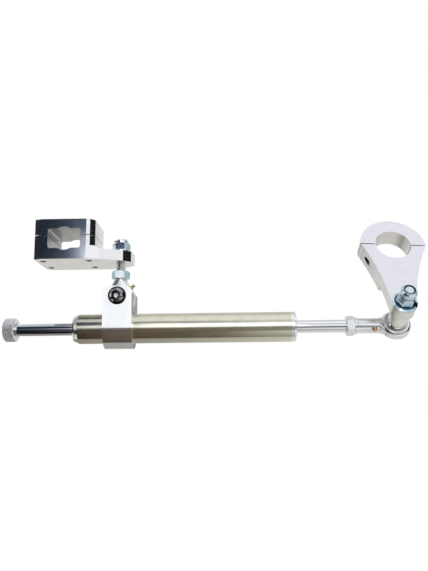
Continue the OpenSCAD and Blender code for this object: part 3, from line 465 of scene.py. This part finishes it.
# Glands: turned aluminium bodies that close the tube and carry the seals and bronze bushes for the rod.
# The left one shows as a nose that carries on the tube's bevel, and the right one as a bright end cap.
# The piston and the knob's cover are turned from the same bar.
turned_bright, turned_dull = (0.88, 0.885, 0.895, 1), (0.76, 0.765, 0.775, 1)
bronze, bronze_dark = (0.60, 0.34, 0.16, 1), (0.40, 0.21, 0.10, 1)
dress(
    metal("turned_aluminium", turned_bright, turned_dull, rough=(0.14, 0.26), grain=3000,
          lines=(1, 0.04, 0.04)),
    "left_gland", "right_gland", "piston", "knob_cover",
)
dress(
    metal("bush_bronze", bronze, bronze_dark, rough=(0.28, 0.45), grain=2600, relief=0.004 * mm),
    "left_bush", "right_bush",
)


# Seals: the black rubber of the lip seals, wipers, O-rings and bump stops, and the pale piston band.
# They sit in the glands' grooves, on the needle and round the piston.
rubber, rubber_dusty = (0.012, 0.012, 0.012, 1), (0.035, 0.034, 0.032, 1)
band_ivory, band_stained = (0.72, 0.68, 0.58, 1), (0.60, 0.55, 0.44, 1)
dress(
    moulded("seal_rubber", rubber, rubber_dusty, rough=(0.5, 0.7), grain=1800),
    "left_rod_seal", "right_rod_seal", "left_wiper", "right_wiper", "left_o_ring", "right_o_ring",
    "left_bump_stop", "right_bump_stop", "needle_o_ring",
)
dress(
    moulded("piston_band", band_ivory, band_stained, rough=(0.4, 0.55), grain=1200),
    "piston_band",
)


# Piston rod: a hollow steel rod, hard chromed and ground, through both ends of the tube.
# The piston is held on it by two snap rings, and the adjuster's small steel pieces sit in its left end.
chrome, chrome_deep = (0.86, 0.87, 0.895, 1), (0.80, 0.81, 0.84, 1)
spring_steel, spring_dark = (0.42, 0.42, 0.44, 1), (0.28, 0.28, 0.29, 1)
dress(
    metal("hard_chrome", chrome, chrome_deep, rough=(0.03, 0.06), grain=3000,
          lines=(1, 0.05, 0.05), relief=0.0003 * mm),
    "piston_rod",
)
dress(
    metal("spring_steel", spring_steel, spring_dark, rough=(0.25, 0.4), grain=2000, edge=0.05 * mm),
    "left_snap_ring", "right_snap_ring", "knob_snap_ring", "detent_spring", "detent_screw",
    "adjuster_needle",
)


# Adjuster knob: an aluminium knob, turned and knurled in diamonds, that turns the needle in the rod.
# A recess round the rod hides its bearing, and a small screw holds the detent spring.
knob_grey, knob_dark = (0.88, 0.885, 0.905, 1), (0.74, 0.745, 0.77, 1)
knob_low, knob_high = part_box("adjuster_knob")
knob_r, knob_len = (knob_high.z - knob_low.z) / 2, knob_high.x - knob_low.x
axis_z = (knob_low.z + knob_high.z) / 2
knob_bevel, knob_round, knob_segments = 0.8 * mm, 0.15 * mm, 372
cover_r, cover_len, cup_r, cup_depth = 7 * mm, 2.5 * mm, 5.4 * mm, 1 * mm
journal_r, pocket_r, pocket_end = 3.75 * mm, 5.9 * mm, 4.5 * mm
knurl_count, knurl_depth, knurl_slope = 62, 0.22 * mm, 1.6
knurl_row, knurl_edge = 0.15 * mm, 0.1 * mm
hole_r, hole_half, hole_segments = 1.06 * mm, 3 * mm, 32


def knurled(height):
    """Radius of the knurl at a height: two crossing sets of slanted grooves."""
    def radius(angle):
        turn, lean = knurl_count * angle / math.tau, knurl_count * height / (math.tau * knob_r)
        grooves = [abs(((turn + side * lean) % 1) - 0.5) * 2 for side in (-1, 1)]
        return knob_r - knurl_depth * (1 - min(1, knurl_slope * min(1 - g for g in grooves)))
    return radius


knob_rings = softened([
    (cover_len, cover_r), (0, cover_r), (0, knob_r - knob_bevel), (knob_bevel, knob_r - knurl_edge),
], knob_round)
first_row = round((knob_bevel + knurl_edge) / knurl_row)
last_row = round((knob_len - knob_bevel - knurl_edge) / knurl_row)
knob_rings += [(row * knurl_row, knurled(row * knurl_row)) for row in range(first_row, last_row + 1)]
knob_rings += softened([
    (knob_len - knob_bevel, knob_r - knurl_edge), (knob_len, knob_r - knob_bevel), (knob_len, cup_r),
    (knob_len - cup_depth, cup_r), (knob_len - cup_depth, journal_r), (pocket_end, journal_r),
    (pocket_end, pocket_r), (cover_len, pocket_r),
], knob_round)
on_rod = Matrix.Translation((knob_low.x, 0, axis_z)) @ Matrix.Rotation(math.radians(90), 4, "Y")
knob = turned_piece("knurled_knob", knob_rings, on_rod, segments=knob_segments, hollow=True)
screw_low, screw_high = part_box("detent_screw")
screw_at = (screw_low + screw_high) / 2
screw_way = Vector((0, screw_at.y, screw_at.z - axis_z)).normalized()
screw_hole = turned_piece("detent_hole", [
    (-hole_half, 0), (-hole_half, hole_r), (hole_half, hole_r), (hole_half, 0),
], Matrix.Translation(screw_at) @ screw_way.to_track_quat("Z", "X").to_matrix().to_4x4(), hole_segments)
joined(knob, ("DIFFERENCE", screw_hole))
knurled_grey = metal("knurled_aluminium", knob_grey, knob_dark, rough=(0.20, 0.30), grain=2500)
shown(knob, knurled_grey, "knob_group", "turned_aluminium", "adjuster_knob")


# Fork rod end: a forged housing with a round collar at its threaded end, screwed on the rod.
# It is plated as the frame rod end is, but brighter, and its neck spreads into the head.
# Its jam nut has the frame rod end's plating.
eye = Vector(joints["fork_clamp_swing"]["pos_m"])
eye_axis = Vector(joints["fork_ball_tilt"]["axis"])
shank_r, shank_len, shank_round = 6 * mm, 33 * mm, 0.4 * mm
collar_r, collar_len = 6.7 * mm, 2.2 * mm
tap_r, tap_depth, tap_bevel = 4 * mm, 14 * mm, 0.5 * mm
flare_from, flare_to, flare_half, flare_steps = -14 * mm, -6 * mm, 8.4 * mm, 14
flare_half_thick, thinning_rate, thinning_power = head_half - 0.3 * mm, 1.6, 1.3
flare_power = 3.2
# The rod group's own axes: along the rod, along the eye's bore and across both
rod_x, bore_y = Vector((1, 0, 0)), eye_axis.cross(Vector((1, 0, 0)))
on_eye = Matrix.Translation(eye) @ Matrix((rod_x, bore_y, eye_axis)).transposed().to_4x4()
eye_across = on_eye @ Matrix.Rotation(math.radians(-90), 4, "X")
# Turned about the rod, with the section's first half width across the eye's bore
along_eye = on_eye @ Matrix(((0, 0, 1, 0), (0, -1, 0, 0), (1, 0, 0, 0), (0, 0, 0, 1)))
shank = [(tap_depth - shank_len, 0), (tap_depth - shank_len, tap_r)]
shank += softened([
    (tap_bevel - shank_len, tap_r), (-shank_len, tap_r + tap_bevel), (-shank_len, collar_r),
    (collar_len - shank_len, collar_r), (collar_len - shank_len, shank_r), (flare_from, shank_r),
], shank_round)
for i in range(1, flare_steps + 1):
    t = i / flare_steps
    wide = shank_r + (flare_half - shank_r) * t
    thick = shank_r + (flare_half_thick - shank_r) * min(1, thinning_rate * t) ** thinning_power
    power = round_power + (flare_power - round_power) * t
    shank.append((flare_from + (flare_to - flare_from) * t, oval(wide, thick, power)))
shank.append((flare_to, 0))
fork_housing = joined(
    turned_piece("fork_rod_end_housing", eye_rings(), eye_across),
    ("UNION", turned_piece("fork_shank", shank, along_eye)),
    ("DIFFERENCE", bore_plug(eye_across)),
)
bright_plate = metal("bright_plated_rod_end", plated, plated_dull, rough=(0.20, 0.30), grain=1400)
shown(fork_housing, bright_plate, "rod_group", "rod_end_steel", "fork_rod_end")
dress(rod_end_plate, "fork_jam_nut")


# Fork clamp: a base and a cap milled from aluminium plate, with satin on the nut's side.
# The cutter's lines run along the bolt on the walls, and the boring tool's lines run round the bore.
# The cap closes on the fork tube, and the arm reaches down to the fork rod end.
satin, satin_dull = (0.80, 0.80, 0.88, 1), (0.76, 0.76, 0.83, 1)
milled, milled_dull, milled_until, dull_from = (0.85, 0.84, 0.80, 1), (0.72, 0.71, 0.67, 1), 0.3, 0.75
wall_below, face_above = 0.85, 0.95
cutter_scale, cutter_detail, line_stretch, bore_margin = 700, 3, 40, 0.6 * mm
bolt_axis = -Vector(joints["fork_clamp_swing"]["axis"])
bolt_turn = bolt_axis.to_track_quat("Z", "X")


def drawn_out(tree, stretch):
    """Places on the surface in the bolt's axes, with the pattern drawn out along them."""
    mapping = tree.nodes.new("ShaderNodeMapping")
    mapping.vector_type = "TEXTURE"
    wired(
        tree, (tree.nodes["Texture Coordinate"].outputs["Object"], mapping.inputs["Vector"]),
        (bolt_turn.to_euler(), mapping.inputs["Rotation"]), (stretch, mapping.inputs["Scale"]),
    )
    return mapping.outputs["Vector"]


satin_plate = metal("satin_aluminium", satin, satin_dull, rough=(0.26, 0.36), grain=1500)
tree = satin_plate.node_tree
cutter, on_wall = new_nodes(tree, "ShaderNodeTexNoise", "ShaderNodeMapRange")
wall_shade = ramp(tree, (milled_until, milled), (dull_from, milled_dull))
wired(
    tree,
    (drawn_out(tree, (1, 1, line_stretch)), cutter.inputs["Vector"]),
    (cutter_scale, cutter.inputs["Scale"]),
    (cutter_detail, cutter.inputs["Detail"]),
    (cutter.outputs["Fac"], wall_shade.inputs["Fac"]),
    (facing(tree, bolt_axis), on_wall.inputs["Value"]),
    (wall_below, on_wall.inputs["From Min"]),
    (face_above, on_wall.inputs["From Max"]),
    (1, on_wall.inputs["To Min"]),
    (0, on_wall.inputs["To Max"]),
)
bore = next(mount for mount in frame["record"]["mounts"] if mount["name"] == "fork_clamp")
bore_edge = bore["dims"]["r_mm"] * mm + bore_margin
in_bore = combined(tree, "LESS_THAN", from_axis(tree, bore["pos_m"], bolt_axis), bore_edge)
blended(tree, in_bore, cutter.inputs["Vector"], drawn_out(tree, (line_stretch, line_stretch, 1)))
base_colour = tree.nodes["Principled BSDF"].inputs["Base Color"]
blended(tree, on_wall.outputs["Result"], base_colour, wall_shade.outputs["Color"])
dress(satin_plate, "fork_clamp_base", "fork_clamp_cap")


# Fork pivot: a turned aluminium spacer between clamp and ball, and the zinc-plated bolt through all three.
# The bolt's end comes flush with the flanged lock nut, whose base colour is painted dark in the corner
# between its flats and its flange, as painted shade.
spacer_pale, spacer_warm = (0.88, 0.87, 0.83, 1), (0.82, 0.80, 0.75, 1)
deep_zinc, deep_blue = (0.62, 0.74, 0.81, 1), (0.36, 0.50, 0.60, 1)
fork_bolt_len, fork_head_back = 53.55 * mm, 7.55 * mm
nut_h, corner_h, corner_r, corner_painted_shade = 16 * mm, 3.2 * mm, 8.2 * mm, (0.035, 0.075, 0.115, 1)
dress(
    metal("spacer_aluminium", spacer_pale, spacer_warm, rough=(0.30, 0.42), grain=2000),
    "fork_spacer",
)
in_arm = Matrix.Translation(eye - bolt_axis * fork_head_back) @ bolt_turn.to_matrix().to_4x4()
fork_bolt = button_bolt("fork_button_bolt", in_arm, fork_bolt_len)
bright_end = metal("zinc_bolt", deep_zinc, deep_blue, rough=(0.22, 0.32), grain=1800)
shown(fork_bolt, bright_end, "fork_bracket", "black_steel", "fork_pivot_bolt")
nut_seat = eye + bolt_axis * (fork_bolt_len - fork_head_back - nut_h)
flange_zinc = metal("deep_blue_zinc", deep_zinc, deep_blue, rough=(0.06, 0.12), grain=1500)
tree = flange_zinc.node_tree
# Painted shade: the base colour darkens in the corner between the nut's flats and its flange.
low = combined(tree, "LESS_THAN", along_axis(tree, nut_seat, bolt_axis), corner_h)
close = combined(tree, "LESS_THAN", from_axis(tree, nut_seat, bolt_axis), corner_r)
in_shaded_corner = combined(tree, "MULTIPLY", low, close)
blended(tree, in_shaded_corner, tree.nodes["Principled BSDF"].inputs["Base Color"], corner_painted_shade)
dress(flange_zinc, "fork_lock_nut")


# Boards: the dark and pale cards that a photographer stands round polished metal.
# They show in its reflections only, and give the bands on the tube, the rod, the clamps and the nuts.
bench_z, bench_left, bench_right = -0.24, -1.5, 4
bench_black = (0.008, 0.009, 0.013)
bench_places = (0.03, 0.08, 0.13, 0.18, 0.26, 0.33)
bench_tints = (
    (1, 0.92, 0.98), (1, 0.74, 0.60), (1, 0.80, 0.58), (1.1, 0.95, 0.72), (1.1, 1, 0.8),
    (1.03, 1, 0.9), (1, 1, 1), (1, 1, 1),
)


def flat_card(name, corners):
    """Card with four corners."""
    mesh = bpy.data.meshes.new(name)
    mesh.from_pydata(corners, [], [range(4)])
    card = bpy.data.objects.new(name, mesh)
    bpy.context.scene.collection.objects.link(card)
    return card


def board(name, corners, axis, *stops, strength=1):
    """Card that shows in reflections only. Its colours blend between stops along an axis."""
    card = flat_card(name, corners)
    material = bpy.data.materials.new(name)
    material.use_nodes = True
    tree = material.node_tree
    tree.nodes.remove(tree.nodes["Principled BSDF"])
    place, split, reach, glow = new_nodes(
        tree, "ShaderNodeTexCoord", "ShaderNodeSeparateXYZ", "ShaderNodeMapRange", "ShaderNodeEmission")
    low, high = stops[0][0], stops[-1][0]
    shade = ramp(tree, *(((at - low) / (high - low), (*colour, 1)) for at, colour in stops))
    wired(
        tree,
        (place.outputs["Object"], split.inputs[0]),
        (split.outputs[axis], reach.inputs["Value"]),
        (low, reach.inputs["From Min"]),
        (high, reach.inputs["From Max"]),
        (reach.outputs["Result"], shade.inputs["Fac"]),
        (shade.outputs["Color"], glow.inputs["Color"]),
        (strength, glow.inputs["Strength"]),
        (glow.outputs[0], tree.nodes["Material Output"].inputs["Surface"]),
    )
    card.data.materials.append(material)
    card.visible_camera = card.visible_diffuse = card.visible_shadow = False
    card.visible_transmission = card.visible_volume_scatter = False


def level(x0, x1, y0, y1, z):
    """Corners of a card that lies flat."""
    return [(x0, y0, z), (x1, y0, z), (x1, y1, z), (x0, y1, z)]


def facing_y(x0, x1, y, z0, z1):
    """Corners of a card that stands in front of the part or behind it."""
    return [(x0, y, z0), (x1, y, z0), (x1, y, z1), (x0, y, z1)]


def facing_x(x, y0, y1, z0, z1):
    """Corners of a card that stands at one side of the part."""
    return [(x, y0, z0), (x, y1, z0), (x, y1, z1), (x, y0, z1)]


# The bench in front of the part, from under it out to the horizon, dark at the left and lit at the right
for name, near, far, starts, lights in (
    ("bench_near", -0.006, -0.062, (-0.065, -0.040, -0.016),
     (0.030, 0.075, 0.095, 0.11, 0.16, 0.36, 0.48, 0.85)),
    ("bench_under", -0.062, -0.133, (-0.075, -0.043, -0.020),
     (0.014, 0.085, 0.120, 0.13, 0.20, 0.47, 0.58, 0.90)),
    ("bench_lit", -0.133, -0.25, (-0.100, -0.058, -0.032),
     (0.036, 0.100, 0.130, 0.12, 0.20, 0.57, 0.92, 0.95)),
    ("bench_far", -0.25, -0.8, (-0.150, -0.090, -0.050),
     (0.105, 0.110, 0.170, 0.17, 0.16, 0.26, 0.32, 0.20)),
    ("bench_end", -0.8, -6, (-0.550, -0.300, -0.180),
     (0.100, 0.170, 0.210, 0.14, 0.14, 0.20, 0.24, 0.20)),
):
    tinted = [tuple(light * share for share in tint) for light, tint in zip(lights, bench_tints)]
    board(
        name, level(bench_left, bench_right, far, near, bench_z), "X", (starts[0], bench_black),
        *zip((*starts[1:], *bench_places), tinted),
    )
board("bench_back", level(-4, 4, -0.006, 0.35, bench_z), "X", (-0.07, (0.29, 0.28, 0.26)),
      (0, (0.37, 0.36, 0.34)), (0.085, (0.45, 0.44, 0.42)), (0.13, (0.57, 0.56, 0.53)),
      (0.2, (0.72, 0.71, 0.70)))
board("bench_distant", level(-4, 4, 0.35, 3, bench_z), "X", (-1, (0.63, 0.62, 0.59)),
      (1, (0.68, 0.67, 0.65)))
# Strips beside and above the camera, deep blue on the left and paler to the right
board("dark_strip", facing_y(-0.9, 1.5, -0.45, 0.235, 0.43), "X", (-0.17, (0.020, 0.026, 0.036)),
      (-0.12, (0.035, 0.045, 0.065)), (-0.08, (0.12, 0.14, 0.18)), (-0.03, (0.30, 0.32, 0.36)),
      (0.04, (0.36, 0.38, 0.39)), (0.127, (0.56, 0.60, 0.63)), (0.22, (0.74, 0.76, 0.78)),
      (0.32, (0.50, 0.51, 0.53)))
board("dark_edge", facing_y(-0.9, -0.08, -0.45, 0.125, 0.235), "X", (-0.145, (0.015, 0.021, 0.032)),
      (-0.127, (0.022, 0.031, 0.044)), (-0.104, (0.039, 0.051, 0.084)), (-0.09, (0.082, 0.108, 0.155)))
board("navy_card", facing_y(-0.08, -0.014, -0.45, 0.102, 0.235), "X", (-0.08, (0.03, 0.05, 0.11)),
      (-0.014, (0.03, 0.05, 0.11)))
board("right_edge", facing_y(0.04, 1.5, -0.45, 0.165, 0.235), "X", (0.04, (0.36, 0.38, 0.39)),
      (0.127, (0.56, 0.60, 0.63)), (0.22, (0.74, 0.76, 0.78)))
board("left_low_board", facing_y(-0.9, -0.078, -0.46, 0.062, 0.16), "X", (-0.15, (0.008, 0.014, 0.024)),
      (-0.13, (0.015, 0.024, 0.042)), (-0.112, (0.045, 0.062, 0.105)), (-0.099, (0.13, 0.165, 0.245)),
      (-0.086, (0.70, 0.74, 0.82)))
board("left_ceiling", level(-3, -0.2, -0.75, 0.6, 1.25), "X", (-1, (0.45, 0.47, 0.52)),
      (-0.2, (0.6, 0.62, 0.66)))
board("left_ceiling_edge", level(-3, -0.4, -2, -0.75, 1.25), "X", (-1, (0.12, 0.14, 0.18)),
      (-0.4, (0.15, 0.17, 0.22)))
# Softboxes behind the camera, the horizon under the left one, and the boards behind the part
board("front_softbox", facing_y(-0.19, 1.2, -1, -0.015, 0.55), "X", (-0.09, (0.43, 0.44, 0.45)),
      (-0.05, (0.9, 0.9, 0.9)), (0.3, (1, 1, 1)), (0.335, (0.45, 0.455, 0.46)), strength=2.1)
board("left_softbox", facing_y(-2, -0.19, -1, -0.015, 0.55), "X", (-0.45, (0.004, 0.0055, 0.007)),
      (-0.333, (0.07, 0.08, 0.105)), (-0.25, (0.20, 0.21, 0.24)), (-0.215, (0.95, 0.98, 1)),
      (-0.19, (0.95, 0.98, 1)), strength=2.1)
board("left_horizon", facing_y(-2, -0.19, -1, -0.3, -0.015), "X", (-0.36, (0.045, 0.060, 0.085)),
      (-0.25, (0.11, 0.11, 0.135)), (-0.19, (0.40, 0.40, 0.43)))
board("back_ceiling", level(-3, 4, -0.1, 2.5, 1.3), "Y", (-0.1, (0.97, 0.97, 0.97)),
      (0.1, (0.83, 0.83, 0.82)), (0.4, (0.74, 0.74, 0.73)), (0.8, (0.63, 0.64, 0.63)))
board("back_board", facing_y(-3, 3, 2.4, -0.2, 1.3), "Z", (-0.2, (0.80, 0.80, 0.79)),
      (1, (0.85, 0.85, 0.84)))
board("back_low_card", facing_y(0.1, 0.6, 2.38, -0.2, 0.43), "Z", (0, (0.22, 0.22, 0.21)),
      (0.43, (0.34, 0.34, 0.33)))
board("back_dark_card", facing_y(0.57, 0.73, 2.38, 0.45, 0.95), "Z", (0.45, (0.20, 0.20, 0.20)),
      (0.95, (0.10, 0.10, 0.10)))
# Pale cards over and under the knob, for its knurl
board("knob_ceiling", level(-1.05, -0.47, -0.05, 1.7, 1.24), "Y", (-0.05, (0.97, 0.97, 0.98)),
      (1.7, (0.97, 0.97, 0.98)))
board("knob_bench", level(-0.3, -0.11, -0.14, 0.1, -0.238), "Y", (-0.14, (0.50, 0.50, 0.51)),
      (-0.05, (0.90, 0.90, 0.90)), (0.1, (0.95, 0.95, 0.95)))
# Side boards: black ones for the bevels and blue-grey ones for the nuts' flats
side_low, side_high = -0.2, 0.7
for name, x, y0, y1, colour in (
    ("right_side_board", 1.2, -0.5, 0.08, (0.010, 0.011, 0.013)),
    ("right_back_board", 1.2, 0.15, 0.9, (0.42, 0.52, 0.56)),
    ("left_side_board", -1.2, 0.1, 0.6, (0.012, 0.014, 0.018)),
    ("left_back_board", -1.2, 0.7, 1.7, (0.40, 0.50, 0.55)),
):
    board(name, facing_x(x, y0, y1, side_low, side_high), "Z", (side_low, colour), (side_high, colour))


# Floor: a pale matt floor well under the part, since the view comes from below.
# It glows a little for the camera and in reflections, so it meets the white room and still takes a shadow.
floor_z, floor_half, floor_pale = -0.26, 6, (0.86, 0.86, 0.86, 1)
floor_rough, floor_glow = 0.9, 0.56
white = (1, 1, 1, 1)


def seen_directly(tree):
    """One for rays from the camera, from a reflection or through glass."""
    path = tree.nodes.new("ShaderNodeLightPath")
    mirrored = combined(tree, "MAXIMUM", path.outputs["Is Camera Ray"], path.outputs["Is Glossy Ray"])
    return combined(tree, "MAXIMUM", mirrored, path.outputs["Is Transmission Ray"])


floor = flat_card("floor", level(-floor_half, floor_half, -floor_half, floor_half, floor_z))
floor_paint = bpy.data.materials.new("pale_floor")
floor_paint.use_nodes = True
tree = floor_paint.node_tree
matt = tree.nodes["Principled BSDF"].inputs
wired(
    tree, (floor_pale, matt["Base Color"]), (floor_rough, matt["Roughness"]),
    (0, matt["Specular IOR Level"]), (white, matt["Emission Color"]),
    (combined(tree, "MULTIPLY", seen_directly(tree), floor_glow), matt["Emission Strength"]),
)
floor.data.materials.append(floor_paint)


# Room and lamps: a white room and two soft lamps, one over the part and one at its left.
# The lamps don't show in the metal, which mirrors the boards instead.
room_fill, lamp_aim = 0.55, Vector((0.12, 0, -0.05))
scene = bpy.context.scene
scene.world = bpy.data.worlds.new("white_room")
scene.world.use_nodes = True
tree = scene.world.node_tree
sky = tree.nodes["Background"].inputs
brightness = tree.nodes.new("ShaderNodeMapRange")
wired(
    tree, (white, sky["Color"]), (seen_directly(tree), brightness.inputs["Value"]),
    (room_fill, brightness.inputs["To Min"]), (1, brightness.inputs["To Max"]),
    (brightness.outputs["Result"], sky["Strength"]),
)
for name, at, size, power in (
    ("top_lamp", (0.1, -0.3, 1.3), 1.2, 5),
    ("left_lamp", (-1.0, -0.9, 0.8), 0.9, 2),
):
    lamp = bpy.data.lights.new(name, "AREA")
    lamp.size, lamp.energy = size, power
    light = bpy.data.objects.new(name, lamp)
    light.location = at
    light.visible_glossy = False
    light.rotation_euler = (lamp_aim - Vector(at)).to_track_quat("-Z", "Y").to_euler()
    scene.collection.objects.link(light)


# Camera: below the damper and a little right of its middle, looking slightly up at it.
# Its place, turn and lens come from fitting the part's edges to the photograph.
camera_at = Vector((0.128639, -0.502134, -0.131979))
pitch, yaw, roll = math.radians(10.793), math.radians(-1.119), math.radians(-0.577)
focal_px, photo_w, photo_h, sensor = 626.8, 428, 571, 36
ahead = Vector((math.sin(yaw) * math.cos(pitch), math.cos(yaw) * math.cos(pitch), math.sin(pitch)))
right = Vector((math.cos(yaw), -math.sin(yaw), 0))
up = right.cross(ahead)
turned_right = right * math.cos(roll) + up * math.sin(roll)
turned_up = up * math.cos(roll) - right * math.sin(roll)
lens = bpy.data.cameras.new("camera")
lens.sensor_width, lens.lens = sensor, focal_px / max(photo_w, photo_h) * sensor
lens.clip_start, lens.clip_end = 0.01, 50
camera = bpy.data.objects.new("camera", lens)
camera.matrix_world = Matrix.Translation(camera_at) @ Matrix(
    (turned_right, turned_up, -ahead)).transposed().to_4x4()
scene.collection.objects.link(camera)
scene.camera = camera
scene.view_settings.view_transform = "Standard"
